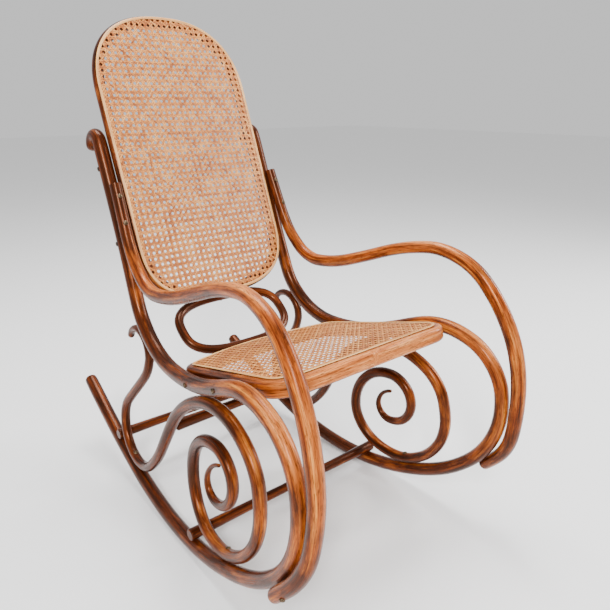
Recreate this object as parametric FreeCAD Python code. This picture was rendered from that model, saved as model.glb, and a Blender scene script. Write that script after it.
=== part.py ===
"""Bentwood rocking chair with caned seat and back.

X runs across the chair, +Y to its back and +Z up, in millimetres. Each side
frame has three bent beech rods: the bow (ear, post, seat rail, front curl and
runner in one rod), the arm and the scroll. A rod's line is a list of bends in
side view, each a (length, turn in degrees), and its distance from the middle of
the chair is a list of values spaced evenly along it.
"""
import FreeCAD, Part
import math
import os
from FreeCAD import Matrix, Vector

# Bow: from the top of the post down, along the seat rail, round to the runner's rear tip
BOW_START = (321.6, 784.4)
BOW_HEADING = -111.7
BOW_BENDS = [(331, 1.3), (53, -20.4), (80, -25.7), (75, -21.3), (126, -17.6), (126, -10.7), (143, 50.8),
             (127, 55.2), (98, 29.3), (96, 24.0), (125, 20.6), (139, 12.5), (80, 8.5), (108, 10.6),
             (100, 7.3), (60, 5.6), (310, 12.3)]
BOW_HALF_WIDTHS = [203.2, 205.5, 219, 242, 262, 259, 249, 236, 226]
BOW_RADII = [15.8, 15.8, 16, 15.8, 14.6, 15.2, 15.8, 15.9, 16.2]
EAR_BENDS = [(16, 0), (59, -170)]
EAR_RADIUS = 15

# Arm: from its flat top end on the post to its rounded tip on the front curl
ARM_START = (263.1, 715.1)
ARM_HEADING = -113.8
ARM_BENDS = [(117, -0.2), (95, -29.6), (75, -38.0), (68, -14.0), (88, -6.9), (99, 3.2), (79, 15.1),
             (80, 27.0), (61, 21.8), (60, 12.7), (66, 9.9), (64, 14.6), (64, 6.5), (74, 12.9), (74, 24.8),
             (53, 13.0)]
ARM_HALF_WIDTHS = [205, 212, 218, 221, 231, 246, 257, 262, 283]
ARM_RADII = [12.6, 13.4, 14.6, 13.2, 13.0, 14.6, 15.2, 14.4, 13.8]

# Scroll: from the tip inside the spiral, out and over, down to the runner and up to its hook
SCROLL_START = (-149.2, 244.2)
SCROLL_HEADING = -14.4
SCROLL_BENDS = [(57, -60.8), (62, -107.6), (84, -73.4), (54, -54.9), (52, -48.1), (91, -51.4), (82, -41.1),
                (66, -37.5), (67, -37.5), (92, -38.2), (96, -35.4), (80, -30.1), (50, -18.0), (79, -40.1),
                (70, -23.2), (90, -28.3), (134, -33.5), (86, -11.8), (131, 26.7), (76, 50.2), (77, 48.5),
                (47, 35.0), (51, 36.3), (105, 5.9), (64, -34.7), (44, -51.8), (78, -88.6), (20, -34.2)]
SCROLL_HALF_WIDTHS = [234, 243, 236, 230, 248, 252, 242, 230, 232, 239, 238, 224, 212, 208]
SCROLL_RADII = [4, 10.5, 12.4, 12.6, 12.2, 12.2, 13, 13.4, 12.8, 12, 11.1, 11, 10.4, 5]

# Turned stretchers
STRETCHER_END_RADIUS = 13
STRETCHER_WAIST_RADIUS = 10.2
STRETCHER_CHAMFER = 2
FRONT_STRETCHER_Y = -67
FRONT_STRETCHER_HALF = 262
REAR_STRETCHER_Y = 296
REAR_STRETCHER_HALF = 246
RUNNER_TOP = 200
MIDDLE_STRETCHER = (34, 243)
TENON_RADIUS = 6.5
TENON_DEPTH = 11
TENON_PLAY = 0.3
STRETCHER_STATIONS = 4
SHOULDER_GAP = 0.8
SOCKET_ROOM = 1

# Back: an upright hoop with an arched top and rounded foot, caned over its flat front
BACK_LEAN = 21.43
BACK_PLANE_Y = -2.1
BACK_HALF_WIDTH = 178.5
BACK_TOP = 1132.5
BACK_TOP_RISE = 169.5
BACK_TOP_POWER = 2.4
BACK_FOOT = 496.5
BACK_FOOT_DROP = 133.5
BACK_FOOT_POWER = 2.85
HOOP_RADIUS = 12.5
HOOP_FLAT = 2.5

# Oval ring between the back and the seat
RING_HALF_WIDTH = 136
RING_POWER = 2.9
RING_RADIUS = 10.5
RING_HEAD_ANGLE = -60.5
RING_FOOT_DROP = 4

# Seat: a flat bent frame, caned over its top, sloping down to the back
SEAT_FRONT = (-318, 467.5)
SEAT_SLOPE = 15.1
SEAT_DEPTH = 410
SEAT_FRONT_HALF = 222
SEAT_REAR_HALF = 205.4
SEAT_REAR_START = 328
SEAT_FRONT_CORNER = 58
SEAT_REAR_CORNER = 42
SEAT_RAIL_WIDTH = 32
SEAT_THICKNESS = 30
SEAT_EDGE = 5

# Cane
CANE_THICKNESS = 1.6
CANE_PITCH = 46
CANE_STRAND = 15
BACK_CANE_INSET = 3
SEAT_CANE_INSET = 14
CANE_BORDER = 12
SMALLEST_GAP = 0.25
BINDING_WIDTH = 6
BINDING_THICKNESS = 1.4

# Round-headed bolts that hold the rods together; each head lies on the outer side of its rod
BOLT_HEAD_RADIUS = 5.5
BOLT_HEAD_RIM = 0.8
BOLT_HEAD_HEIGHT = 2.8
BOLT_CROWN_RADIUS = 3
ARM_BOLTS = [(278, 700), (254, 640), (-350, 150)]
HOOP_BOLTS = [(292, 745), (240, 610)]
SCROLL_BOLTS = [(-88, 352), (231, 85), (-209, 87)]
SEAT_BOLT_YS = [-30, -190]

# Fit of one piece on another
TOUCH = 0.3

# Rings of a rod: the most it turns and runs between two of them, and the sides of each ring
RING_TURN = 18.0
RING_STEP = 110.0
THICK_SIDES = 16
THIN_SIDES = 12
HEAD_SIDES = 10
HOOP_STATIONS = 52
OVAL_STATIONS = 40
CAP_ANGLES = (84, 60, 30)
CAP_LENGTH = 0.75


def walk(start, heading, bends):
    """Points (y, z) and distances along a chain of tangent arcs."""
    y, z = start
    angle = math.radians(heading)
    points = [(y, z)]
    distances = [0.0]
    for length, turn in bends:
        count = max(1, math.ceil(length / RING_STEP), math.ceil(abs(turn) / RING_TURN))
        total = math.radians(turn)
        for k in range(1, count + 1):
            part = k / count
            if turn == 0:
                y1 = y + length * part * math.cos(angle)
                z1 = z + length * part * math.sin(angle)
            else:
                radius = length / total
                y1 = y + radius * (math.sin(angle + total * part) - math.sin(angle))
                z1 = z - radius * (math.cos(angle + total * part) - math.cos(angle))
            points.append((y1, z1))
            distances.append(distances[-1] + length / count)
        y, z = points[-1]
        angle += total
    return points, distances


def along(values, share):
    """A smooth value at a share from 0 to 1 of a list spaced evenly along a rod."""
    last = len(values) - 1
    spot = min(max(share, 0.0), 1.0) * last
    k = min(int(spot), last - 1)
    f = spot - k
    a = values[max(k - 1, 0)]
    b = values[k]
    c = values[k + 1]
    d = values[min(k + 2, last)]
    return b + 0.5 * f * (c - a + f * (2 * a - 5 * b + 4 * c - d + f * (3 * (b - c) + d - a)))


def rod_stations(points, distances, half_widths, radii):
    """Centres in space and radii of a rod on the right side."""
    total = distances[-1]
    centres = []
    sizes = []
    for (y, z), distance in zip(points, distances):
        centres.append(Vector(along(half_widths, distance / total), y, z))
        sizes.append(along(radii, distance / total))
    return centres, sizes


def tangents(centres, closed=False):
    """Unit directions at each centre."""
    count = len(centres)
    result = []
    for k in range(count):
        if closed:
            step = centres[(k + 1) % count] - centres[k - 1]
        else:
            step = centres[min(k + 1, count - 1)] - centres[max(k - 1, 0)]
        result.append(step.normalize())
    return result


def ring_wire(centre, direction, reference, radius, sides, flat=0.0):
    """A ring of straight sides across a rod. Its flat, if any, faces the reference."""
    first = (reference - direction * reference.dot(direction)).normalize()
    second = direction.cross(first)
    half = math.acos((radius - flat) / radius) if flat > 0 else math.pi / sides
    step = (2 * math.pi - 2 * half) / (sides - 1)
    reach = radius / math.sqrt(math.cos(step / 2))
    corners = []
    for k in range(sides):
        a = half + step * k
        corners.append(centre + first * (reach * math.cos(a)) + second * (reach * math.sin(a)))
    return Part.makePolygon(corners + corners[:1])


def rod_solid(centres, radii, reference, sides, round_start=True, round_end=True):
    """A rod through its stations, with rounded or flat ends."""
    directions = tangents(centres)
    stations = list(zip(centres, directions, radii))

    def cap(centre, direction, radius, sign):
        rounded = []
        for angle in CAP_ANGLES:
            a = math.radians(angle)
            spot = centre + direction * (sign * CAP_LENGTH * radius * math.sin(a))
            rounded.append((spot, direction, radius * math.cos(a)))
        return rounded

    if round_start:
        stations = cap(*stations[0], -1) + stations
    if round_end:
        stations = stations + cap(*stations[-1], 1)[::-1]
    rings = [ring_wire(centre, direction, reference, radius, sides)
             for centre, direction, radius in stations]
    return Part.makeLoft(rings, True, True, False)


def mirrored(shape):
    return shape.mirror(Vector(0, 0, 0), Vector(1, 0, 0))


def bow_stations():
    down, down_distances = walk(BOW_START, BOW_HEADING, BOW_BENDS)
    centres, radii = rod_stations(down, down_distances, BOW_HALF_WIDTHS, BOW_RADII)
    ear, _ = walk(BOW_START, BOW_HEADING + 180, EAR_BENDS)
    tip = [Vector(BOW_HALF_WIDTHS[0], y, z) for y, z in reversed(ear[1:])]
    return tip + centres, [EAR_RADIUS] * len(tip) + radii


def arm_stations():
    points, distances = walk(ARM_START, ARM_HEADING, ARM_BENDS)
    return rod_stations(points, distances, ARM_HALF_WIDTHS, ARM_RADII)


def scroll_stations():
    points, distances = walk(SCROLL_START, SCROLL_HEADING, SCROLL_BENDS)
    return rod_stations(points, distances, SCROLL_HALF_WIDTHS, SCROLL_RADII)


def nearest(centres, radii, point):
    """The straight run of a rod nearest to a point: its number, the point on it and the radius."""
    best = None
    for k in range(len(centres) - 1):
        start = centres[k]
        step = centres[k + 1] - start
        share = min(max((point - start).dot(step) / step.dot(step), 0.0), 1.0)
        spot = start + step * share
        gap = (point - spot).Length
        if best is None or gap < best[0]:
            best = (gap, k, spot, radii[k] + (radii[k + 1] - radii[k]) * share)
    return best[1:]


def on_runner(y, centres, radii):
    """Where a stretcher's line lies at y when it rests on top of the runner."""
    for k in range(len(centres) - 1):
        step = centres[k + 1] - centres[k]
        if step.y <= 0 or centres[k].z > RUNNER_TOP:
            continue
        up = Vector(0, -step.z, step.y).normalize()
        lift = up * ((radii[k] + radii[k + 1]) / 2 + STRETCHER_END_RADIUS + TOUCH)
        share = (y - centres[k].y - lift.y) / step.y
        if share < 1:
            return centres[k] + step * share + lift
    return centres[-1]


def stretcher(y, z, half, tenon):
    """A turned bar, thick at its ends and slender in the middle, with a tenon at each end or none."""
    end = STRETCHER_END_RADIUS
    edge = STRETCHER_CHAMFER
    reach = half - edge
    profile = [(half, end - edge)]
    if tenon > 0:
        profile = [(half + tenon, TENON_RADIUS), (half + TENON_PLAY, TENON_RADIUS), (half, end - edge)]
    waist = []
    for k in range(STRETCHER_STATIONS + 1):
        share = 1 - k / STRETCHER_STATIONS
        waist.append((reach * share, STRETCHER_WAIST_RADIUS + (end - STRETCHER_WAIST_RADIUS) * share ** 2))
    side = profile + waist
    line = [(-x, radius) for x, radius in side] + [(x, radius) for x, radius in side[-2::-1]]
    centres = [Vector(x, y, z) for x, _ in line]
    radii = [radius for _, radius in line]
    return rod_solid(centres, radii, Vector(0, 0, 1), THIN_SIDES, round_start=False, round_end=False)


def oval(half_width, top, rise, top_power, foot, drop, foot_power, count):
    """Points (across, up) of a closed outline with an arched top and a rounded foot."""
    points = []
    for k in range(count):
        a = 2 * math.pi * k / count
        c = math.cos(a)
        s = math.sin(a)
        power = top_power if s >= 0 else foot_power
        reach = (abs(c) ** power + abs(s) ** power) ** (-1 / power)
        across = half_width * c * reach
        up = top - rise + rise * s * reach if s >= 0 else foot + drop + drop * s * reach
        points.append((across, up))
    return points


def plane_frame(y, z, lean):
    """Origin and directions of a plane that leans back: along X, up the plane and out of its front."""
    a = math.radians(lean)
    up = Vector(0, math.sin(a), math.cos(a))
    front = Vector(0, -math.cos(a), math.sin(a))
    return Vector(0, y, z), up, front


def hoop_solid(points, origin, up, front, radius, flat):
    """A closed rod along points of a plane, with a flat on its front or none."""
    centres = [origin + Vector(a, 0, 0) + up * b for a, b in points]
    directions = tangents(centres, closed=True)
    rings = [ring_wire(centre, direction, front, radius, THIN_SIDES, flat)
             for centre, direction in zip(centres, directions)]
    return Part.makeLoft(rings + rings[:1], True, True, False)


def placed(shape, origin, up, front):
    """A shape drawn across X and Y of a flat sheet, set into a plane of the chair."""
    turn = Matrix(1, 0, 0, origin.x, 0, up.y, front.y, origin.y, 0, up.z, front.z, origin.z, 0, 0, 0, 1)
    shape.Placement = FreeCAD.Placement(turn).multiply(shape.Placement)
    return shape


def seat_outline(inset):
    """The seat's outline in its own plane, a given distance inside the frame's outer side."""
    lean = math.atan2(SEAT_FRONT_HALF - SEAT_REAR_HALF, SEAT_REAR_START)
    front_r = SEAT_FRONT_CORNER
    corner_r = SEAT_REAR_CORNER
    across = Vector(math.cos(lean), math.sin(lean), 0)
    front_c = Vector(SEAT_FRONT_HALF - front_r * (1 / math.cos(lean) + math.tan(lean)), front_r, 0)
    rear_c = Vector(SEAT_REAR_HALF - corner_r / math.cos(lean), SEAT_REAR_START, 0)
    rise = SEAT_DEPTH - rear_c.y
    bow_r = (rear_c.x ** 2 + rise ** 2 - corner_r ** 2) / (2 * (rise - corner_r))
    bow_c = Vector(0, SEAT_DEPTH - bow_r, 0)
    to_bow = (rear_c - bow_c).normalize()
    half = [front_c + Vector(0, -front_r + inset, 0), front_c + across * (front_r - inset),
            rear_c + across * (corner_r - inset), rear_c + to_bow * (corner_r - inset)]
    front_mid = front_c + (across + Vector(0, -1, 0)).normalize() * (front_r - inset)
    rear_mid = rear_c + (across + to_bow).normalize() * (corner_r - inset)

    def other(point):
        return Vector(-point.x, point.y, 0)

    edges = [Part.LineSegment(other(half[0]), half[0]), Part.Arc(half[0], front_mid, half[1]),
             Part.LineSegment(half[1], half[2]), Part.Arc(half[2], rear_mid, half[3]),
             Part.Arc(half[3], Vector(0, SEAT_DEPTH - inset, 0), other(half[3])),
             Part.Arc(other(half[3]), other(rear_mid), other(half[2])),
             Part.LineSegment(other(half[2]), other(half[1])),
             Part.Arc(other(half[1]), other(front_mid), other(half[0]))]
    return Part.Wire([edge.toShape() for edge in edges])


def back_outline(inset):
    """The hoop's line in its own plane, moved in by a given distance."""
    points = oval(BACK_HALF_WIDTH - inset, BACK_TOP - inset, BACK_TOP_RISE - inset, BACK_TOP_POWER,
                  BACK_FOOT + inset, BACK_FOOT_DROP - inset, BACK_FOOT_POWER, HOOP_STATIONS)
    return Part.makePolygon([Vector(a, b, 0) for a, b in points + points[:1]])


def net(outer, inner):
    """A flat net of crossing strands inside a border."""
    field = Part.Face(inner)
    box = field.BoundBox
    gap = CANE_PITCH - CANE_STRAND
    columns = round((box.XMax - box.XMin) / CANE_PITCH)
    rows = round((box.YMax - box.YMin) / CANE_PITCH)
    left = (box.XMin + box.XMax - columns * CANE_PITCH + CANE_STRAND) / 2
    low = (box.YMin + box.YMax - rows * CANE_PITCH + CANE_STRAND) / 2
    wires = [outer]
    for i in range(columns):
        for j in range(rows):
            x = left + i * CANE_PITCH
            y = low + j * CANE_PITCH
            square = Part.makePlane(gap, gap, Vector(x, y, 0))
            kept = square.common(field)
            wires += [face.OuterWire for face in kept.Faces if face.Area > gap * gap * SMALLEST_GAP]
    return Part.makeFace(wires, "Part::FaceMakerBullseye").extrude(Vector(0, 0, CANE_THICKNESS))


def binding(outer, inner):
    return Part.makeFace([outer, inner], "Part::FaceMakerBullseye").extrude(Vector(0, 0, BINDING_THICKNESS))


def seat_frame():
    """A flat frame with rounded edges."""
    block = Part.Face(seat_outline(0)).extrude(Vector(0, 0, -SEAT_THICKNESS))
    rims = [edge for edge in block.Edges if edge.BoundBox.ZLength < SEAT_THICKNESS / 2]
    middle = Part.Face(seat_outline(SEAT_RAIL_WIDTH)).extrude(Vector(0, 0, -SEAT_THICKNESS))
    return block.makeChamfer(SEAT_EDGE, rims).cut(middle)


def bolt_head(spot, outward):
    """A domed head whose flat side lies on a rod at spot."""
    rim = spot + outward * BOLT_HEAD_RIM
    crown = spot + outward * BOLT_HEAD_HEIGHT
    across = outward.cross(Vector(0, 1, 1))
    rings = [ring_wire(spot, outward, across, BOLT_HEAD_RADIUS, HEAD_SIDES),
             ring_wire(rim, outward, across, BOLT_HEAD_RADIUS, HEAD_SIDES),
             ring_wire(crown, outward, across, BOLT_CROWN_RADIUS, HEAD_SIDES)]
    return Part.makeLoft(rings, True, True, False)


def head_on(rod, target, outward):
    """A bolt's head on the straight run of a rod nearest to target, on its side that faces outward."""
    centres, radii = rod
    k, _, _ = nearest(centres, radii, target)
    run = (centres[k + 1] - centres[k]).normalize()
    side = (outward - run * outward.dot(run)).normalize()
    middle = (centres[k] + centres[k + 1]) / 2
    return bolt_head(middle + side * ((radii[k] + radii[k + 1]) / 2 + TOUCH), side)


def lap_head(first, second, target):
    """The head of a bolt through two rods that lie together near target, on the first rod's outer side."""
    _, spot, _ = nearest(first[0], first[1], target)
    _, into, _ = nearest(second[0], second[1], spot)
    return head_on(first, spot, spot - into)


bow = bow_stations()
arm = arm_stations()
scroll = scroll_stations()
across_x = Vector(1, 0, 0)

back_origin, back_up, back_front = plane_frame(BACK_PLANE_Y, 0, BACK_LEAN)
hoop_points = oval(BACK_HALF_WIDTH, BACK_TOP, BACK_TOP_RISE, BACK_TOP_POWER,
                   BACK_FOOT, BACK_FOOT_DROP, BACK_FOOT_POWER, HOOP_STATIONS)
hoop_line = [back_origin + Vector(a, 0, 0) + back_up * b for a, b in hoop_points]
hoop_foot = back_origin + back_up * BACK_FOOT

slope = math.radians(SEAT_SLOPE)
seat_origin = Vector(0, SEAT_FRONT[0], SEAT_FRONT[1])
seat_back = Vector(0, math.cos(slope), -math.sin(slope))
seat_up = Vector(0, math.sin(slope), math.cos(slope))

head_angle = math.radians(RING_HEAD_ANGLE)
to_ring = Vector(0, math.cos(head_angle), math.sin(head_angle))
ring_head = hoop_foot + to_ring * (HOOP_RADIUS + RING_RADIUS + TOUCH)
ring_foot = seat_origin + seat_back * (SEAT_DEPTH + RING_RADIUS + TOUCH) - seat_up * RING_FOOT_DROP
ring_rise = (ring_head - ring_foot).Length
ring_lean = math.degrees(math.atan2(ring_head.y - ring_foot.y, ring_head.z - ring_foot.z))
ring_origin, ring_up, ring_front = plane_frame(ring_foot.y, ring_foot.z, ring_lean)
ring_half = ring_rise / 2
ring_points = oval(RING_HALF_WIDTH, ring_rise, ring_half, RING_POWER, 0, ring_half, RING_POWER,
                   OVAL_STATIONS)
ring_line = [ring_origin + Vector(a, 0, 0) + ring_up * b for a, b in ring_points]

solids = {}

# Side frames
for name, stations, sides in (("bow", bow, THICK_SIDES), ("arm", arm, THICK_SIDES),
                              ("scroll", scroll, THIN_SIDES)):
    rod = rod_solid(stations[0], stations[1], across_x, sides, round_start=name != "arm")
    solids["right_" + name] = rod
    solids["left_" + name] = mirrored(rod)

# Stretchers
low_front = on_runner(FRONT_STRETCHER_Y, bow[0], bow[1])
solids["front_stretcher"] = stretcher(low_front.y, low_front.z, FRONT_STRETCHER_HALF, 0)
low_rear = on_runner(REAR_STRETCHER_Y, bow[0], bow[1])
solids["rear_stretcher"] = stretcher(low_rear.y, low_rear.z, REAR_STRETCHER_HALF, 0)
leg_target = Vector(SCROLL_HALF_WIDTHS[9], MIDDLE_STRETCHER[0], MIDDLE_STRETCHER[1])
_, leg_spot, leg_radius = nearest(scroll[0], scroll[1], leg_target)
middle_half = leg_spot.x - leg_radius - SHOULDER_GAP
solids["middle_stretcher"] = stretcher(leg_spot.y, leg_spot.z, middle_half, TENON_DEPTH)
for side, sign in (("left", -1), ("right", 1)):
    reach = (middle_half - SOCKET_ROOM, middle_half + TENON_DEPTH + SOCKET_ROOM)
    ends = [Vector(sign * x, leg_spot.y, leg_spot.z) for x in reach]
    room = [TENON_RADIUS + TENON_PLAY] * 2
    socket = rod_solid(ends, room, Vector(0, 0, 1), THIN_SIDES, round_start=False, round_end=False)
    solids[side + "_scroll"] = solids[side + "_scroll"].cut(socket)

# Back
solids["back_hoop"] = hoop_solid(hoop_points, back_origin, back_up, back_front, HOOP_RADIUS, HOOP_FLAT)
cane_level = HOOP_RADIUS - HOOP_FLAT + TOUCH
cane_origin = back_origin + back_front * cane_level
back_net = net(back_outline(BACK_CANE_INSET), back_outline(BACK_CANE_INSET + CANE_BORDER))
solids["back_cane"] = placed(back_net, cane_origin, back_up, back_front)
binding_origin = cane_origin + back_front * (CANE_THICKNESS + TOUCH)
back_strip = binding(back_outline(BACK_CANE_INSET), back_outline(BACK_CANE_INSET + BINDING_WIDTH))
solids["back_binding"] = placed(back_strip, binding_origin, back_up, back_front)

# Oval ring
solids["oval_ring"] = hoop_solid(ring_points, ring_origin, ring_up, ring_front, RING_RADIUS, 0)

# Seat
solids["seat_frame"] = placed(seat_frame(), seat_origin, seat_back, seat_up)
seat_net = net(seat_outline(SEAT_CANE_INSET), seat_outline(SEAT_CANE_INSET + CANE_BORDER))
seat_level = seat_origin + seat_up * TOUCH
solids["seat_cane"] = placed(seat_net, seat_level, seat_back, seat_up)
seat_strip = binding(seat_outline(SEAT_CANE_INSET), seat_outline(SEAT_CANE_INSET + BINDING_WIDTH))
strip_level = seat_level + seat_up * (CANE_THICKNESS + TOUCH)
solids["seat_binding"] = placed(seat_strip, strip_level, seat_back, seat_up)

# Bolt heads, one group for each kind of joint
hoop = (hoop_line + hoop_line[:1], [HOOP_RADIUS] * (HOOP_STATIONS + 1))
ring = (ring_line + ring_line[:1], [RING_RADIUS] * (OVAL_STATIONS + 1))
heads = {}
for group, first, second, places in (("arm_bolts", arm, bow, ARM_BOLTS),
                                     ("hoop_bolts", bow, hoop, HOOP_BOLTS),
                                     ("scroll_bolts", scroll, bow, SCROLL_BOLTS)):
    heads[group] = [lap_head(first, second, Vector(BOW_HALF_WIDTHS[7], y, z)) for y, z in places]
seat_levels = [(y, SEAT_FRONT[1] - (y - SEAT_FRONT[0]) * math.tan(slope)) for y in SEAT_BOLT_YS]
heads["seat_bolts"] = [head_on(bow, Vector(SEAT_FRONT_HALF, y, z), across_x) for y, z in seat_levels]
for group, found in heads.items():
    solids[group] = Part.makeCompound(found + [mirrored(head) for head in found])
under = bolt_head(ring_head + to_ring * (RING_RADIUS + TOUCH), to_ring)
behind = bolt_head(ring_foot + seat_back * (RING_RADIUS + TOUCH), seat_back)
solids["ring_bolts"] = Part.makeCompound([under, behind])

# Stand the chair on the ground with the middle of its box at the origin
boxes = [solid.optimalBoundingBox(False, False) for solid in solids.values()]
middle_y = (min(box.YMin for box in boxes) + max(box.YMax for box in boxes)) / 2
shift = Vector(0, -middle_y, -min(box.ZMin for box in boxes))
os.makedirs("parts", exist_ok=True)
for name, solid in solids.items():
    solid.translate(shift)
    solid.exportStep("parts/" + name + ".step")
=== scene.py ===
"""Bentwood rocking chair in glossy stained beech with a caned seat and back.

X runs across the chair, +Y to its back and +Z up. Sizes and places are in millimetres on the
chair's own drawing, and turn to metres as each piece is made.
"""
import bpy
import math
import numpy as np
from mathutils import Matrix, Vector


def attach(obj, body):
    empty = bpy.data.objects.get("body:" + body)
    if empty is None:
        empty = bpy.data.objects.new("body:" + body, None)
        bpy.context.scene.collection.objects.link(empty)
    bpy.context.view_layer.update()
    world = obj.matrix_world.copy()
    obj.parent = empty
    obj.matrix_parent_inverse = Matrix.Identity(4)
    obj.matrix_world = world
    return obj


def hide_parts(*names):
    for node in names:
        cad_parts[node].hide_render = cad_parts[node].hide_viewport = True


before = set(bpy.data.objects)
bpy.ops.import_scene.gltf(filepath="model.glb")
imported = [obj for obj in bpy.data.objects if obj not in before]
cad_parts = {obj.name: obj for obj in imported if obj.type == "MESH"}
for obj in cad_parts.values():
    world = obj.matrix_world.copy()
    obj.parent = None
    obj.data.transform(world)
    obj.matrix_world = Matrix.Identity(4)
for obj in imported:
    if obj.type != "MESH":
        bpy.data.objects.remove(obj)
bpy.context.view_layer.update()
MM = 0.001

# Where the chair's own drawing lies in the frame
SHIFT = np.array([0.0, -20.9074, -2.4347])

# Bent rods: their bends in side view, each a (length, turn in degrees), then their distance from
# the middle of the chair and their radius, each a list of values spaced evenly along the rod
BOW = dict(start=(321.6, 784.4), heading=-111.7,
           bends=[(331, 1.3), (53, -20.4), (80, -25.7), (75, -21.3), (126, -17.6), (126, -10.7), (143, 50.8),
                  (127, 55.2), (98, 29.3), (96, 24.0), (125, 20.6), (139, 12.5), (80, 8.5), (108, 10.6),
                  (100, 7.3), (60, 5.6), (310, 12.3)],
           widths=[203.2, 205.5, 219, 242, 262, 259, 249, 236, 226],
           radii=[15.8, 15.8, 16, 15.8, 14.6, 15.2, 15.8, 15.9, 16.2])
EAR_BENDS = [(16, 0), (59, -170)]
EAR_RADIUS = 15.0
ARM = dict(start=(263.1, 715.1), heading=-113.8,
           bends=[(117, -0.2), (95, -29.6), (75, -38.0), (68, -14.0), (88, -6.9), (99, 3.2), (79, 15.1),
                  (80, 27.0), (61, 21.8), (60, 12.7), (66, 9.9), (64, 14.6), (64, 6.5), (74, 12.9),
                  (74, 24.8), (53, 13.0)],
           widths=[205, 212, 218, 221, 231, 246, 257, 262, 283],
           radii=[12.6, 13.4, 14.6, 13.2, 13.0, 14.6, 15.2, 14.4, 13.8])
SCROLL = dict(start=(-149.2, 244.2), heading=-14.4,
              bends=[(57, -60.8), (62, -107.6), (84, -73.4), (54, -54.9), (52, -48.1), (91, -51.4),
                     (82, -41.1), (66, -37.5), (67, -37.5), (92, -38.2), (96, -35.4), (80, -30.1),
                     (50, -18.0), (79, -40.1), (70, -23.2), (90, -28.3), (134, -33.5), (86, -11.8),
                     (131, 26.7), (76, 50.2), (77, 48.5), (47, 35.0), (51, 36.3), (105, 5.9), (64, -34.7),
                     (44, -51.8), (78, -88.6), (20, -34.2)],
              widths=[234, 243, 236, 230, 248, 252, 242, 230, 232, 239, 238, 224, 212, 208],
              radii=[4, 10.5, 12.4, 12.6, 12.2, 12.2, 13, 13.4, 12.8, 12, 11.1, 11, 10.4, 8])
# The most that a rod turns, in degrees, and the furthest it runs between two points of its line
RING_TURN = 18.0
RING_STEP = 110.0
# The rods' round skins keep just inside the frame's straight-sided ones
SNUG = 0.985
ROD_ROUNDNESS = 10
# A rounded end: how far it stands out for its radius, and the angles of its rings
DOME_REACH = 0.73
DOME_ANGLES = (0.6, 1.05, 1.35, 1.5)
# Two points nearer than this, in metres, are one
SAME_POINT = 0.00002

# Back hoop, on a plane that leans back
BACK_Y = -2.1
BACK_LEAN = 21.43
BACK_HALF_WIDTH = 178.5
BACK_TOP = 1132.5
BACK_TOP_RISE = 169.5
BACK_TOP_POWER = 2.4
BACK_FOOT = 496.5
BACK_FOOT_DROP = 133.5
BACK_FOOT_POWER = 2.85
HOOP_RADIUS = 12.5
HOOP_PLANED_AT = 10.0
HOOP_POINTS = 64

# Oval ring between the back and the seat
RING_FOOT_Y = 87.229
RING_FOOT_Z = 354.018
RING_LEAN = 49.68
RING_HALF_WIDTH = 136
RING_HEIGHT = 135.81
RING_POWER = 2.9
RING_RADIUS = 10.5
RING_POINTS = 48

# Seat frame, on a plane that slopes down to the back
SEAT_FRONT_Y = -318
SEAT_FRONT_Z = 467.5
SEAT_SLOPE = 15.1
SEAT_DEPTH = 410
SEAT_FRONT_HALF = 222
SEAT_REAR_HALF = 205.4
SEAT_REAR_START = 328
SEAT_FRONT_CORNER = 58
SEAT_REAR_CORNER = 42
RAIL_INSET = 16
RAIL_WIDTH = 31.8
RAIL_THICKNESS = 29.8
RAIL_EDGE = 7.5

# Stretchers: y, z, half the length between shoulders, and the tenon's length
STRETCHERS = {"front": (-67, 50.22, 262, 0), "rear": (296, 111.34, 246, 0),
              "middle": (34.68, 243.14, 221.2, 11)}
# A bar's end and a tenoned one, each a (distance in from the shoulder, radius)
BAR_END = [(0, 11.0), (1, 12.2), (2.5, 12.9), (4, 12.9)]
TENON_RADIUS = 6.4
TENON_END = [(-0.6, TENON_RADIUS), (-0.3, 6.5), (0, 10.9)] + BAR_END[1:]
# Its radius in the middle, and how much it thickens to its ends
BAR_SLENDER = 10.2
BAR_SWELL = 2.7

# Cane: distance between pairs of strands, half the distance within a pair, half a strand's
# width, and its doming above and below
PITCH = 13.5
PAIR = 1.85
HALF = 1.7
CROWN = 0.3
BELLY = 0.4
# How far the diagonal strands and the paired ones rise and dip, and their waves over one pitch:
# a share of the pitch or a distance along it, and a height
DIAGONAL_LIFT = 0.40
PAIR_LIFT = 0.32
DIAGONAL_WAVE = [(0, -1), (0.17, -1), (0.33, 1), (0.5, 1), (0.67, 1), (0.83, -1), (1, -1)]
PAIR_WAVE = [(-PITCH / 2, 0), (-3.4, 0.1), (-PAIR, 1), (0, 0), (PAIR, -1), (3.4, -0.1), (PITCH / 2, 0)]
# Where the cane ends, in from the outlines of back and seat, and its height on their planes
BACK_CANE_INSET = -4
BACK_CANE_LEVEL = 11.0
SEAT_CANE_INSET = 17
SEAT_CANE_LEVEL = 1.0
BACK_CANE_POINTS = 160
# Binding strip over the cane's edge: its section, and where it lies
BINDING_SECTION = [(-3.0, 0.0), (-2.5, 0.7), (-1.2, 1.2), (0, 1.35), (1.2, 1.2), (2.5, 0.7), (3.0, 0.0)]
BACK_BINDING_INSET = -4.5
BACK_BINDING_LEVEL = 11.4
SEAT_BINDING_LEVEL = 2.0

# Bolt heads: radius both ways and height, and how near in metres the points of one head lie
HEAD_SIZE = np.array([5.4, 5.4, 2.7])
HEAD_NEAR = 0.02

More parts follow.
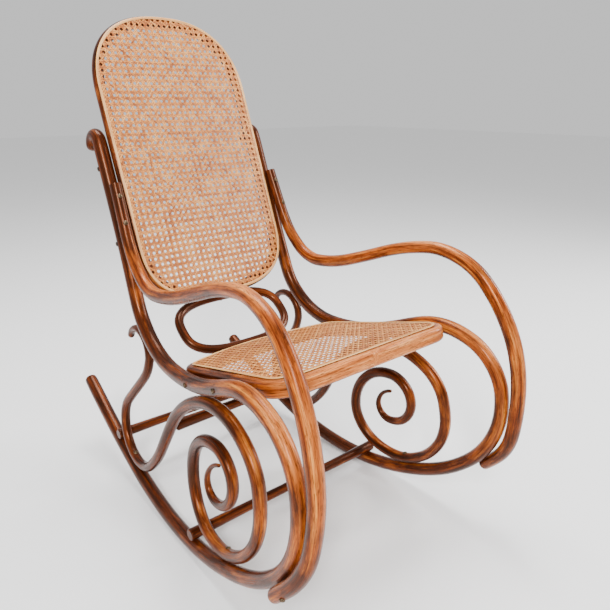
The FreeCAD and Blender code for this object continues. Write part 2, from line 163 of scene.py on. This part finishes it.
# Where the stain is rubbed to honey, in the frame: |x|, y, z and reach, and how strongly
WORN = [(215, 60, 560, 150, 0.75), (225, -90, 600, 190, 0.85), (235, -250, 560, 190, 0.95),
        (250, -400, 430, 190, 0.85), (262, -470, 300, 160, 0.6), (275, -430, 170, 120, 0.5),
        (255, -330, 330, 150, 0.55), (255, -400, 240, 150, 0.55), (245, -250, 150, 160, 0.4),
        (0, -360, 440, 275, 1.25), (190, -330, 440, 150, 0.8), (0, 380, 1050, 150, 0.35),
        (190, 300, 900, 120, 0.2), (230, -60, 400, 120, 0.3), (240, -200, 90, 150, 0.3)]
# Wear ends at this share of a place's reach. The side that faces up and forward wears most and is also
# painted lighter, as lit, and the side facing away is painted darker, as painted shade
WEAR_END = 1.15
WEAR_POWER = 0.7
LIT_AND_WORN_SIDE = np.array([0, -0.6, 0.8])


def linear(value):
    """A hex colour as linear red, green and blue."""
    parts = [int(value[k:k + 2], 16) / 255 for k in (1, 3, 5)]
    return [p / 12.92 if p <= 0.04045 else ((p + 0.055) / 1.055) ** 2.4 for p in parts] + [1.0]


def add(tree, kind, inputs=(), out=0, stops=(), **settings):
    """Adds a node with its settings and links, and gives back one of its outputs. An input is a
    number, a hex colour or another node's output, and a stop is a place with a number or a colour."""
    node = tree.nodes.new(kind)
    for name, value in settings.items():
        setattr(node, name, value)
    for key, value in dict(inputs).items():
        if isinstance(value, bpy.types.NodeSocket):
            tree.links.new(value, node.inputs[key])
        else:
            node.inputs[key].default_value = linear(value) if isinstance(value, str) else value
    if stops:
        elements = node.color_ramp.elements
        while len(elements) < len(stops):
            elements.new(0.5)
        for element, (place, value) in zip(elements, stops):
            element.position = place
            element.color = linear(value) if isinstance(value, str) else [value] * 3 + [1.0]
    return node.outputs[out] if len(node.outputs) else None


def bare_material(name):
    material = bpy.data.materials.new(name)
    material.use_nodes = True
    material.node_tree.nodes.clear()
    return material, material.node_tree


def beech():
    """Stained beech: dark brown streaks that run along each bent rod, rubbed through to honey where hands
    have worn it and to pale wood at the seat's front, under a hard glossy varnish. The same mark also holds
    painted light and shade: the sides that face up and forward are painted lighter and those facing away
    darker."""
    material, tree = bare_material("stained_beech")
    grain = add(tree, "ShaderNodeAttribute", out="Vector", attribute_name="grain")
    wear_and_shade = add(tree, "ShaderNodeAttribute", out="Fac", attribute_name="wear_and_shade")
    # Broad streaks, fine grain, worn patches and flecks: their size across the rod and along it.
    # Beech's own flecks are under 3 mm long. They are drawn coarser, so that they show
    streak, fine, patch, fleck = [
        add(tree, "ShaderNodeTexNoise",
            {"Vector": add(tree, "ShaderNodeMapping",
                           {"Vector": grain, "Scale": [1 / (size * MM) for size in (wide, wide, long)]}),
             "Scale": 1.0, "Detail": detail, "Roughness": rough}, "Fac")
        for wide, long, detail, rough in (
            (6.667, 142.86, 4.0, 0.62), (1.613, 45.455, 3.0, 0.6), (22.22, 71.43, 3.0, 0.55),
            (1.25, 13.333, 3.0, 0.6))]
    broad = add(tree, "ShaderNodeMath", {0: streak, 1: 0.62}, operation="MULTIPLY")
    figure = add(tree, "ShaderNodeMath", {0: fine, 1: 0.38, 2: broad}, operation="MULTIPLY_ADD")
    dark = add(tree, "ShaderNodeValToRGB", {"Fac": figure},
               stops=[(0.34, "#0c0402"), (0.46, "#2c0f04"), (0.56, "#56230b"), (0.7, "#87441a")])
    honey = add(tree, "ShaderNodeValToRGB", {"Fac": figure},
                stops=[(0.33, "#1f0903"), (0.42, "#65270a"), (0.53, "#a35018"), (0.7, "#e3943c")])
    pale = add(tree, "ShaderNodeValToRGB", {"Fac": figure},
               stops=[(0.31, "#73340f"), (0.44, "#b5632b"), (0.55, "#d48547"), (0.7, "#f2b076")])
    # The worn places, with their painted light and shade, break up in patches
    less = add(tree, "ShaderNodeMath", {0: wear_and_shade, 1: 0.75}, operation="SUBTRACT")
    patchy = add(tree, "ShaderNodeMath", {0: patch, 1: 1.5, 2: less}, operation="MULTIPLY_ADD")
    rubbed_and_shaded = add(tree, "ShaderNodeValToRGB", {"Fac": patchy}, stops=[(0.22, 0.0), (0.68, 1.0)])
    stained = add(tree, "ShaderNodeMix", {0: rubbed_and_shaded, 6: dark, 7: honey}, 2, data_type="RGBA")
    bared_and_shaded = add(tree, "ShaderNodeValToRGB", {"Fac": wear_and_shade}, stops=[(0.7, 0.0), (1.0, 0.85)])
    worn_and_shaded = add(tree, "ShaderNodeMix", {0: bared_and_shaded, 6: stained, 7: pale}, 2, data_type="RGBA")
    pores = add(tree, "ShaderNodeValToRGB", {"Fac": fleck}, stops=[(0.36, 0.7), (0.45, 0.0)])
    colour = add(tree, "ShaderNodeMix", {0: pores, 6: worn_and_shaded, 7: "#120502"}, 2, data_type="RGBA")
    gloss = add(tree, "ShaderNodeValToRGB", {"Fac": fine}, stops=[(0.35, 0.34), (0.7, 0.22)])
    relief = add(tree, "ShaderNodeBump", {"Height": fleck, "Strength": 0.12, "Distance": 0.0004})
    varnish = add(tree, "ShaderNodeBsdfPrincipled",
                  {"Base Color": colour, "Roughness": gloss, "Specular IOR Level": 0.36,
                   "Specular Tint": "#ffa878", "Coat Weight": 0.05, "Coat Roughness": 0.16,
                   "Normal": relief})
    add(tree, "ShaderNodeOutputMaterial", {"Surface": varnish})
    return material


def cane():
    """Woven rattan: glossy split strands from tan to pinkish gold, each a little darker or lighter, with
    painted brown shade along their edges that darkens the holes between them, and small brown flecks."""
    material, tree = bare_material("woven_rattan")
    place = add(tree, "ShaderNodeTexCoord", out="Object")
    strand = add(tree, "ShaderNodeAttribute", out="Fac", attribute_name="strand")
    edge = add(tree, "ShaderNodeAttribute", out="Fac", attribute_name="edge")
    tone = add(tree, "ShaderNodeTexNoise",
               {"Vector": place, "Scale": 1 / (26.32 * MM), "Detail": 3.0, "Roughness": 0.6}, "Fac")
    flecks = add(tree, "ShaderNodeTexNoise",
                 {"Vector": place, "Scale": 1 / (2.381 * MM), "Detail": 2.0, "Roughness": 0.5}, "Fac")
    own = add(tree, "ShaderNodeMath", {0: strand, 1: 0.45}, operation="MULTIPLY")
    value = add(tree, "ShaderNodeMath", {0: tone, 1: 0.55, 2: own}, operation="MULTIPLY_ADD")
    gold = add(tree, "ShaderNodeValToRGB", {"Fac": value},
               stops=[(0.2, "#8a4314"), (0.4, "#bb6c2a"), (0.6, "#d98d42"), (0.82, "#efb26a")])
    spotted = add(tree, "ShaderNodeValToRGB", {"Fac": flecks}, stops=[(0.30, 0.5), (0.45, 0.0)])
    # Painted shade: each strand turns brown towards its edges, so the holes between strands look dark
    edge_shade = add(tree, "ShaderNodeValToRGB", {"Fac": edge}, stops=[(0.4, 0.0), (0.95, 0.9)])
    colour = add(tree, "ShaderNodeMix", {0: spotted, 6: gold, 7: "#6e3a18"}, 2, data_type="RGBA")
    colour = add(tree, "ShaderNodeMix", {0: edge_shade, 6: colour, 7: "#5e2c0e"}, 2, data_type="RGBA")
    relief = add(tree, "ShaderNodeBump", {"Height": flecks, "Strength": 0.15, "Distance": 0.0003})
    rattan = add(tree, "ShaderNodeBsdfPrincipled",
                 {"Base Color": colour, "Roughness": 0.42, "Specular IOR Level": 0.4, "Normal": relief})
    add(tree, "ShaderNodeOutputMaterial", {"Surface": rattan})
    return material


def binding_cane():
    """Rattan binding: one flat wider strip, a shade lighter than the weave, with lines along it.
    The fibres that make them are finer than 0.3 mm, and are drawn coarser, so that they show."""
    material, tree = bare_material("rattan_binding")
    grain = add(tree, "ShaderNodeAttribute", out="Vector", attribute_name="grain")
    drawn = add(tree, "ShaderNodeMapping",
                {"Vector": grain, "Scale": [1 / (size * MM) for size in (0.7692, 0.7692, 71.43)]})
    lines = add(tree, "ShaderNodeTexNoise",
                {"Vector": drawn, "Scale": 1.0, "Detail": 3.0, "Roughness": 0.6}, "Fac")
    colour = add(tree, "ShaderNodeValToRGB", {"Fac": lines},
                 stops=[(0.32, "#a5652c"), (0.5, "#d69a56"), (0.66, "#f0c485")])
    relief = add(tree, "ShaderNodeBump", {"Height": lines, "Strength": 0.2, "Distance": 0.0003})
    rattan = add(tree, "ShaderNodeBsdfPrincipled",
                 {"Base Color": colour, "Roughness": 0.4, "Normal": relief})
    add(tree, "ShaderNodeOutputMaterial", {"Surface": rattan})
    return material


def old_steel():
    """Darkened steel of old bolt heads: brown-grey and dull, with worn brighter patches."""
    material, tree = bare_material("darkened_steel")
    place = add(tree, "ShaderNodeTexCoord", out="Object")
    spots = add(tree, "ShaderNodeTexNoise",
                {"Vector": place, "Scale": 1 / (1.6667 * MM), "Detail": 3.0, "Roughness": 0.6}, "Fac")
    colour = add(tree, "ShaderNodeValToRGB", {"Fac": spots},
                 stops=[(0.35, "#2e241c"), (0.55, "#5c4a38"), (0.7, "#8d7860")])
    gloss = add(tree, "ShaderNodeValToRGB", {"Fac": spots}, stops=[(0.35, 0.55), (0.7, 0.32)])
    relief = add(tree, "ShaderNodeBump", {"Height": spots, "Strength": 0.2, "Distance": 0.0003})
    steel = add(tree, "ShaderNodeBsdfPrincipled",
                {"Base Color": colour, "Roughness": gloss, "Metallic": 1.0, "Normal": relief})
    add(tree, "ShaderNodeOutputMaterial", {"Surface": steel})
    return material


def white_paper():
    """Matt white paper under the chair: pale and even, with no shine."""
    material, tree = bare_material("white_paper")
    paper = add(tree, "ShaderNodeBsdfPrincipled", {"Base Color": "#f6f6f6", "Roughness": 0.9})
    add(tree, "ShaderNodeOutputMaterial", {"Surface": paper})
    return material


BEECH, CANE, BINDING, STEEL = beech(), cane(), binding_cane(), old_steel()


def walk(start, heading, bends):
    """Points (y, z) and distances along a chain of tangent arcs."""
    y, z = start
    angle = math.radians(heading)
    points, distances = [(y, z)], [0.0]
    for length, turn in bends:
        count = max(1, math.ceil(length / RING_STEP), math.ceil(abs(turn) / RING_TURN))
        total = math.radians(turn)
        for k in range(1, count + 1):
            if turn == 0:
                run = length * k / count
                points.append((y + run * math.cos(angle), z + run * math.sin(angle)))
            else:
                r, now = length / total, angle + total * k / count
                points.append((y + r * (math.sin(now) - math.sin(angle)),
                               z - r * (math.cos(now) - math.cos(angle))))
            distances.append(distances[-1] + length / count)
        y, z = points[-1]
        angle += total
    return points, distances


def along(values, share):
    """A smooth value at a share from 0 to 1 of a list spaced evenly along a rod."""
    last = len(values) - 1
    spot = min(max(share, 0.0), 1.0) * last
    k = min(int(spot), last - 1)
    f = spot - k
    a, b, c, d = values[max(k - 1, 0)], values[k], values[k + 1], values[min(k + 2, last)]
    return b + 0.5 * f * (c - a + f * (2 * a - 5 * b + 4 * c - d + f * (3 * (b - c) + d - a)))


def line_of(rod):
    """The points along a rod's middle, and its radius at each."""
    points, distances = walk(rod["start"], rod["heading"], rod["bends"])
    shares = [distance / distances[-1] for distance in distances]
    centres = [np.array([along(rod["widths"], share), y, z]) + SHIFT
               for (y, z), share in zip(points, shares)]
    return centres, [along(rod["radii"], share) for share in shares]


def dome(at, beside, r):
    """The last few points and radii, which round off a rod's end."""
    away = (at - beside) / np.linalg.norm(at - beside)
    return [(at + away * DOME_REACH * r * math.sin(a), r * math.cos(a)) for a in DOME_ANGLES]


def points_of(mesh):
    found = np.empty(len(mesh.vertices) * 3)
    mesh.vertices.foreach_get("co", found)
    return found.reshape(-1, 3)


def place_points(mesh, points):
    mesh.vertices.foreach_set("co", np.asarray(points, dtype=float).ravel())
    mesh.update()


def attribute(mesh, name, values, kind="FLOAT"):
    made = mesh.attributes.new(name, kind, "POINT")
    field = "vector" if kind == "FLOAT_VECTOR" else "value"
    made.data.foreach_set(field, np.asarray(values, dtype=float).ravel())


def add_wear_and_shade(mesh):
    """Marks how worn the wood is at each point, and paints light and shade into the same mark: sides facing
    up and forward lighter, sides facing away darker.
    """
    points = points_of(mesh) / MM
    normals = np.empty(len(points) * 3)
    mesh.vertex_normals.foreach_get("vector", normals)
    wear_and_shade = np.zeros(len(points))
    for x, y, z, reach, most in WORN:
        away = np.sqrt((np.abs(points[:, 0]) - x) ** 2 + (points[:, 1] - y) ** 2 + (points[:, 2] - z) ** 2)
        wear_and_shade = np.maximum(wear_and_shade, most * np.clip(WEAR_END - away / reach, 0, 1) ** WEAR_POWER)
    # Painted light and shade: the more a point faces up and forward, the lighter it is drawn
    facing_light = normals.reshape(-1, 3) @ LIT_AND_WORN_SIDE
    attribute(mesh, "wear_and_shade", wear_and_shade * (0.5 + 0.6 * np.clip(facing_light + 0.4, 0, 1)))


def add_grain(mesh, line, reference):
    """Gives each point its offset from the line, in a frame carried along it, and its distance on it."""
    reference = np.array(reference, dtype=float)
    step = np.gradient(line, axis=0)
    step /= np.linalg.norm(step, axis=1)[:, None]
    first = reference - step * (step @ reference)[:, None]
    first /= np.linalg.norm(first, axis=1)[:, None]
    second = np.cross(step, first)
    run = np.concatenate([[0], np.cumsum(np.linalg.norm(np.diff(line, axis=0), axis=1))])
    points = points_of(mesh)
    # The nearest point of the line, found for some 800 points at a time
    k = np.concatenate([np.argmin(((part[:, None] - line[None]) ** 2).sum(2), axis=1)
                        for part in np.array_split(points, max(1, len(points) // 800))])
    off = points - line[k]
    ahead = (off * step[k]).sum(1)
    values = np.column_stack([(off * first[k]).sum(1), (off * second[k]).sum(1), run[k] + ahead])
    attribute(mesh, "grain", values, "FLOAT_VECTOR")


def only(obj):
    bpy.ops.object.select_all(action="DESELECT")
    obj.select_set(True)
    bpy.context.view_layer.objects.active = obj


def linked(name, data):
    obj = bpy.data.objects.new(name, data)
    bpy.context.scene.collection.objects.link(obj)
    return obj


def turn_faces_out():
    """Turns all faces of the piece being edited outwards."""
    bpy.ops.mesh.select_all(action="SELECT")
    bpy.ops.mesh.normals_make_consistent(inside=False)


def spline_curve(name, kind, centres, radii, closed):
    """A curve led by its centres, smooth or straight between them, with a radius at each."""
    curve = bpy.data.curves.new(name, "CURVE")
    curve.dimensions = "3D"
    spline = curve.splines.new(kind)
    spline.points.add(len(centres) - 1)
    for point, centre, radius in zip(spline.points, centres, radii):
        point.co = (*(np.asarray(centre) * MM), 1.0)
        point.radius = radius
    spline.order_u = 3
    spline.use_cyclic_u = closed
    spline.use_endpoint_u = not closed
    spline.resolution_u = 6
    return linked(name, curve)


def tube(name, centres, radii, reference, closed=False):
    """A round rod bent along its line, with its grain, its wear and its painted light and shade."""
    obj = spline_curve(name, "NURBS", centres, [r * MM * SNUG for r in radii], closed)
    obj.data.twist_mode = "MINIMUM"
    bpy.context.view_layer.update()
    line = points_of(bpy.data.meshes.new_from_object(obj))
    if closed:
        line = np.vstack([line, line[:1]])
    obj.data.bevel_depth = 1.0
    obj.data.bevel_resolution = ROD_ROUNDNESS
    obj.data.use_fill_caps = not closed
    only(obj)
    bpy.ops.object.convert(target="MESH")
    bpy.ops.object.mode_set(mode="EDIT")
    bpy.ops.mesh.select_all(action="SELECT")
    bpy.ops.mesh.remove_doubles(threshold=SAME_POINT)
    turn_faces_out()
    bpy.ops.object.mode_set(mode="OBJECT")
    add_grain(obj.data, line, reference)
    add_wear_and_shade(obj.data)
    return obj


def mirror_copy(obj, name):
    """A copy on the chair's other side, with its own mesh."""
    copy = linked(name, obj.data.copy())
    only(copy)
    bpy.ops.object.mode_set(mode="EDIT")
    bpy.ops.mesh.select_all(action="SELECT")
    bpy.ops.transform.resize(value=(-1, 1, 1), center_override=(0, 0, 0))
    turn_faces_out()
    bpy.ops.object.mode_set(mode="OBJECT")
    return copy


def finished(obj, material, node, angle=40):
    """Shades a piece, gives it its material and has it stand for its part of the frame."""
    only(obj)
    bpy.ops.object.shade_smooth_by_angle(angle=math.radians(angle))
    obj.data.materials.clear()
    obj.data.materials.append(material)
    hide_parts(node)
    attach(obj, "root")


# Side frames: bow, arm and scroll on the right, mirrored to the left. The bow starts at the tip
# of its curled ear, and the arm's top end is sawn flat
bow_line, bow_radii = line_of(BOW)
ear = walk(BOW["start"], BOW["heading"] + 180, EAR_BENDS)[0][1:]
ear_line = [np.array([BOW["widths"][0], y, z]) + SHIFT for y, z in reversed(ear)]
for part, (centres, radii), rounded_start in (
        ("bow", (ear_line + bow_line, [EAR_RADIUS] * len(ear_line) + bow_radii), True),
        ("arm", line_of(ARM), False), ("scroll", line_of(SCROLL), True)):
    rings = list(zip(centres, radii)) + dome(centres[-1], centres[-2], radii[-1])
    if rounded_start:
        rings = dome(centres[0], centres[1], radii[0])[::-1] + rings
    right = tube("rod_" + part + "_right", [c for c, _ in rings], [r for _, r in rings], (1, 0, 0))
    left = mirror_copy(right, "rod_" + part + "_left")
    finished(right, BEECH, "right_" + part)
    finished(left, BEECH, "left_" + part)


def leaning(y, z, lean):
    """A plane that leans back: its origin, the way across, up it and out of its front."""
    a = math.radians(lean)
    return (np.array([0, y, z]) + SHIFT, np.array([1.0, 0, 0]), np.array([0, math.sin(a), math.cos(a)]),
            np.array([0, -math.cos(a), math.sin(a)]))


def on_plane(plane, points, level=0.0):
    origin, across, up, front = plane
    return [origin + across * a + up * b + front * level for a, b in points]


def oval(half, top, rise, power, foot, drop, low_power, count):
    """Points (across, up) of a closed outline with an arched top and a rounded foot."""
    points = []
    for k in range(count):
        c, s = math.cos(2 * math.pi * k / count), math.sin(2 * math.pi * k / count)
        q = power if s >= 0 else low_power
        reach = (abs(c) ** q + abs(s) ** q) ** (-1 / q)
        height = top - rise + rise * s * reach if s >= 0 else foot + drop + drop * s * reach
        points.append((half * c * reach, height))
    return points


def back_outline(inset, count):
    return oval(BACK_HALF_WIDTH - inset, BACK_TOP - inset, BACK_TOP_RISE - inset, BACK_TOP_POWER,
                BACK_FOOT + inset, BACK_FOOT_DROP - inset, BACK_FOOT_POWER, count)


# Back hoop: a round rod with its front planed flat for the cane
BACK = leaning(BACK_Y, 0, BACK_LEAN)
hoop = tube("back_hoop_rod", on_plane(BACK, back_outline(0, HOOP_POINTS)), [HOOP_RADIUS] * HOOP_POINTS,
            BACK[3], closed=True)
points = points_of(hoop.data)
depth = (points - BACK[0] * MM) @ BACK[3]
place_points(hoop.data, points - np.maximum(depth - HOOP_PLANED_AT * MM, 0)[:, None] * BACK[3])
finished(hoop, BEECH, "back_hoop", 35)

RING = leaning(RING_FOOT_Y, RING_FOOT_Z, RING_LEAN)
ring_points = oval(RING_HALF_WIDTH, RING_HEIGHT, RING_HEIGHT / 2, RING_POWER, 0, RING_HEIGHT / 2,
                   RING_POWER, RING_POINTS)
ring = tube("oval_ring_rod", on_plane(RING, ring_points), [RING_RADIUS] * RING_POINTS, RING[3], closed=True)
finished(ring, BEECH, "oval_ring")

# Stretchers: turned bars, thick at their ends and slender in the middle
for name, (y, z, half, tenon) in STRETCHERS.items():
    end = [(-tenon, TENON_RADIUS)] + TENON_END if tenon else BAR_END
    side = [(half - inward, r) for inward, r in end]
    side += [(half * t, BAR_SLENDER + BAR_SWELL * t * t) for t in (0.9, 0.75, 0.5, 0.25)]
    bar_line = [(-x, r) for x, r in side] + [(0, BAR_SLENDER)] + [(x, r) for x, r in reversed(side)]
    bar = tube("bar_" + name, [np.array([x, y, z]) + SHIFT for x, _ in bar_line],
               [r for _, r in bar_line], (0, 0, 1))
    finished(bar, BEECH, name + "_stretcher", 30)


def arc(centre, r, start, end, count):
    return [(centre[0] + r * math.cos(start + (end - start) * k / count),
             centre[1] + r * math.sin(start + (end - start) * k / count)) for k in range(count + 1)]


def seat_outline(inset):
    """The seat's outline in its own plane, as points (across, back)."""
    lean = math.atan2(SEAT_FRONT_HALF - SEAT_REAR_HALF, SEAT_REAR_START)
    front_c = (SEAT_FRONT_HALF - SEAT_FRONT_CORNER * (1 / math.cos(lean) + math.tan(lean)), SEAT_FRONT_CORNER)
    rear_c = (SEAT_REAR_HALF - SEAT_REAR_CORNER / math.cos(lean), SEAT_REAR_START)
    rise = SEAT_DEPTH - rear_c[1]
    bow_r = (rear_c[0] ** 2 + rise ** 2 - SEAT_REAR_CORNER ** 2) / (2 * (rise - SEAT_REAR_CORNER))
    bow_c = (0, SEAT_DEPTH - bow_r)
    to_bow = math.atan2(rear_c[1] - bow_c[1], rear_c[0] - bow_c[0])
    # Front edge, front corner, side, rear corner and bowed rear edge, in 12 to 16 steps each
    half = [(front_c[0] * k / 12, inset) for k in range(12)]
    half += arc(front_c, SEAT_FRONT_CORNER - inset, -math.pi / 2, lean, 14)
    start, end = half[-1], arc(rear_c, SEAT_REAR_CORNER - inset, lean, lean, 1)[0]
    half += [(start[0] + (end[0] - start[0]) * k / 16, start[1] + (end[1] - start[1]) * k / 16)
             for k in range(1, 16)]
    half += arc(rear_c, SEAT_REAR_CORNER - inset, lean, to_bow, 12)
    half += arc(bow_c, bow_r - inset, to_bow, math.pi / 2, 16)[1:]
    return half + [(-x, y) for x, y in half[-2:0:-1]]


def strip(name, plane, outline, level, section):
    """A rail or strip of one section swept round an outline that lies in a plane."""
    origin, across, up, front = plane
    obj = spline_curve(name, "POLY", [(a, b, 0) for a, b in outline], [1.0] * len(outline), True)
    obj.data.twist_mode = "Z_UP"
    shape = spline_curve(name + "_section", "POLY", [(a, b, 0) for a, b in section],
                         [1.0] * len(section), True)
    obj.data.bevel_mode = "OBJECT"
    obj.data.bevel_object = shape
    only(obj)
    bpy.ops.object.convert(target="MESH")
    bpy.data.objects.remove(shape)
    rows = [[across[k], up[k], front[k], (origin[k] + front[k] * level) * MM] for k in range(3)]
    obj.data.transform(Matrix(rows + [[0, 0, 0, 1]]))
    bpy.ops.object.mode_set(mode="EDIT")
    turn_faces_out()
    bpy.ops.object.mode_set(mode="OBJECT")
    line = np.array(on_plane(plane, outline + outline[:1], level)) * MM
    line = np.concatenate([np.linspace(a, b, 6)[:-1] for a, b in zip(line[:-1], line[1:])])
    add_grain(obj.data, line, front)
    add_wear_and_shade(obj.data)
    return obj


def round_box(wide, tall, r):
    """The section of a rail with rounded edges, its top at zero."""
    points = []
    for cx, cy, a0 in ((wide / 2 - r, -r, 0), (-wide / 2 + r, -r, 90), (-wide / 2 + r, -tall + r, 180),
                       (wide / 2 - r, -tall + r, 270)):
        points += arc((cx, cy), r, math.radians(a0), math.radians(a0 + 90), 5)
    return points


SEAT = leaning(SEAT_FRONT_Y, SEAT_FRONT_Z, 90 + SEAT_SLOPE)
rail = strip("seat_rail", SEAT, seat_outline(RAIL_INSET), 0.0,
             round_box(RAIL_WIDTH, RAIL_THICKNESS, RAIL_EDGE))
finished(rail, BEECH, "seat_frame", 35)


def ribbon(points, side):
    """Points and faces of a thin strand, domed on both sides, along points (x, y, z)."""
    verts, faces = [], []
    for x, y, z in points:
        verts += [(x - side[0] * HALF, y - side[1] * HALF, z), (x, y, z + CROWN),
                  (x + side[0] * HALF, y + side[1] * HALF, z), (x, y, z - BELLY)]
    for a in range(0, 4 * (len(points) - 1), 4):
        faces += [(a + i, a + (i + 1) % 4, a + 4 + (i + 1) % 4, a + 4 + i) for i in range(4)]
    return verts, faces


def cell(kind):
    """One pitch of the strands that run one way: a pair up or across, or one on a diagonal, so
    that the holes between them are eight-sided."""
    if kind in ("rising", "falling"):
        way = 1 if kind == "rising" else -1
        run = [(PITCH / 2 + PITCH * t, way * PITCH * t, way * h * DIAGONAL_LIFT) for t, h in DIAGONAL_WAVE]
        return ribbon(run, (0.707, -0.707 * way))
    verts, faces = [], []
    for side in (-1, 1):
        run = [(side * PAIR, t, -side * h * PAIR_LIFT) for t, h in PAIR_WAVE]
        if kind == "across":
            run = [(y, x, -z) for x, y, z in run]
        more, quads = ribbon(run, (1, 0) if kind == "up" else (0, 1))
        faces += [[i + len(verts) for i in quad] for quad in quads]
        verts += more
    return verts, faces


def inside(points, outline):
    """Which points (across, up) lie inside a closed outline."""
    ring = np.array(outline)
    hit = np.zeros(len(points), dtype=bool)
    for a, b in zip(ring, np.roll(ring, -1, axis=0)):
        crosses = (a[1] > points[:, 1]) != (b[1] > points[:, 1])
        at = a[0] + (points[:, 1] - a[1]) * (b[0] - a[0]) / (b[1] - a[1] + 1e-12)
        hit ^= crosses & (points[:, 0] < at)
    return hit


def weave(name, kind, plane, outline, level):
    """The strands that run one way across a caned frame, repeated from one pitch and trimmed."""
    origin, across, up, front = plane
    low, high = np.min(outline, 0), np.max(outline, 0)
    count = np.ceil((high - low) / PITCH / 2).astype(int) + 1
    verts, faces = cell(kind)
    mesh = bpy.data.meshes.new(name)
    mesh.from_pydata([(x * MM, y * MM, z * MM) for x, y, z in verts], [], faces)
    # Each strand's two side edges are marked for the painted shade along them
    attribute(mesh, "edge", [1, 0, 1, 0] * (len(verts) // 4))
    obj = linked(name, mesh)
    only(obj)
    for axis in (0, 1):
        step = obj.modifiers.new("repeat", "ARRAY")
        step.count = int(2 * count[axis] + 1)
        step.use_relative_offset = False
        step.use_constant_offset = True
        step.constant_offset_displace = [PITCH * MM if k == axis else 0 for k in range(3)]
        step.use_merge_vertices = True
        step.merge_threshold = SAME_POINT
        bpy.ops.object.modifier_apply(modifier=step.name)
    points = points_of(mesh) / MM
    points[:, :2] += (low + high) / 2 - count * PITCH
    place_points(mesh, points * MM)
    bpy.ops.object.mode_set(mode="EDIT")
    bpy.ops.mesh.select_mode(type="VERT")
    bpy.ops.mesh.select_all(action="DESELECT")
    bpy.ops.object.mode_set(mode="OBJECT")
    mesh.vertices.foreach_set("select", ~inside(points[:, :2], outline))
    bpy.ops.object.mode_set(mode="EDIT")
    bpy.ops.mesh.delete(type="VERT")
    turn_faces_out()
    bpy.ops.object.mode_set(mode="OBJECT")
    x, y, z = (points_of(mesh) / MM).T
    # Each strand gets a shade of its own from the number of its lane
    lane, lanes = {"up": (x, 4), "across": (y, 4), "rising": (x - y, 1), "falling": (x + y, 1)}[kind]
    number = np.round(lane / (PITCH / lanes))
    attribute(mesh, "strand", np.abs(np.sin(number * 12.9898 + 4.1) * 43758.5453) % 1.0)
    world = origin + np.outer(x, across) + np.outer(y, up) + np.outer(z + level, front)
    place_points(mesh, world * MM)
    return obj


for kind in ("up", "across", "rising", "falling"):
    piece = weave("back_cane_" + kind, kind, BACK, back_outline(BACK_CANE_INSET, BACK_CANE_POINTS),
                  BACK_CANE_LEVEL)
    finished(piece, CANE, "back_cane", 60)
    piece = weave("seat_cane_" + kind, kind, SEAT, seat_outline(SEAT_CANE_INSET), SEAT_CANE_LEVEL)
    finished(piece, CANE, "seat_cane", 60)
edging = strip("back_binding_strip", BACK, back_outline(BACK_BINDING_INSET, BACK_CANE_POINTS),
               BACK_BINDING_LEVEL, BINDING_SECTION)
finished(edging, BINDING, "back_binding")
edging = strip("seat_binding_strip", SEAT, seat_outline(SEAT_CANE_INSET), SEAT_BINDING_LEVEL,
               BINDING_SECTION)
finished(edging, BINDING, "seat_binding")


def heads_of(node):
    """Centre of the foot and outward direction of each bolt head of one kind in the frame."""
    points = points_of(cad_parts[node].data)
    left = list(range(len(points)))
    while left:
        near = [i for i in left if np.linalg.norm(points[i] - points[left[0]]) < HEAD_NEAR]
        left = [i for i in left if i not in near]
        cloud = np.unique(np.round(points[near], 6), axis=0)
        middle = (cloud.max(0) + cloud.min(0)) / 2
        out = np.linalg.svd(cloud - cloud.mean(0))[2][2]
        height = (cloud - middle) @ out
        spread = np.linalg.norm((cloud - middle) - height[:, None] * out, axis=1)
        if spread[height > 0].mean() > spread[height < 0].mean():
            out, height = -out, -height
        yield middle + out * height.min(), out


# Bolt heads: a low dome, made once and set where each head of the frame lies
bpy.ops.mesh.primitive_uv_sphere_add(segments=20, ring_count=10, radius=1.0, location=(0, 0, 0))
head = bpy.context.active_object
bpy.ops.object.mode_set(mode="EDIT")
bpy.ops.mesh.select_all(action="SELECT")
bpy.ops.mesh.bisect(plane_co=(0, 0, 0), plane_no=(0, 0, 1), clear_inner=True, use_fill=True)
bpy.ops.object.mode_set(mode="OBJECT")
head_points = points_of(head.data) * HEAD_SIZE * MM
for node in ("arm_bolts", "hoop_bolts", "scroll_bolts", "seat_bolts", "ring_bolts"):
    for number, (foot, out) in enumerate(heads_of(node)):
        copy = linked(node + "_head_%d" % number, head.data.copy())
        turn = np.array(Vector((0, 0, 1)).rotation_difference(Vector(out)).to_matrix())
        place_points(copy.data, head_points @ turn.T + foot)
        finished(copy, STEEL, node)
bpy.data.objects.remove(head)

# Floor, light and camera, in metres
bpy.ops.mesh.primitive_plane_add(size=30, location=(0, 0, -0.0005))
floor = bpy.context.active_object
floor.name = "studio_floor"
floor.data.materials.append(white_paper())

world = bpy.data.worlds.new("studio")
bpy.context.scene.world = world
world.use_nodes = True
world.node_tree.nodes["Background"].inputs["Color"].default_value = linear("#ffffff")
world.node_tree.nodes["Background"].inputs["Strength"].default_value = 0.78


def looking(name, data, place, way):
    """A light or the camera at its place, looking along its way."""
    obj = linked(name, data)
    obj.location = place
    obj.rotation_euler = Vector(way).to_track_quat("-Z", "Y").to_euler()
    return obj


# Each light's place, what it is aimed at, its power in watts, and its width and height
for name, place, aim, power, width, tall in (
        ("key", (-2.2, -2.4, 2.6), (0, 0, 0.5), 170, 0.6, 1.2),
        ("window", (2.6, -1.2, 1.8), (0, 0, 0.5), 80, 0.5, 1.8),
        ("top", (0.2, 0.6, 3.2), (0, 0, 0.4), 110, 1.4, 1.4)):
    light = bpy.data.lights.new(name, "AREA")
    light.shape = "RECTANGLE"
    light.size = width
    light.size_y = tall
    light.energy = power
    looking(name, light, place, Vector(aim) - Vector(place))

lens = bpy.data.cameras.new("camera")
lens.sensor_width = 36.0
lens.lens = 35.7
bpy.context.scene.camera = looking("camera", lens, (-0.7336, -1.0097, 0.8839), (0.6102, 0.7237, -0.3223))
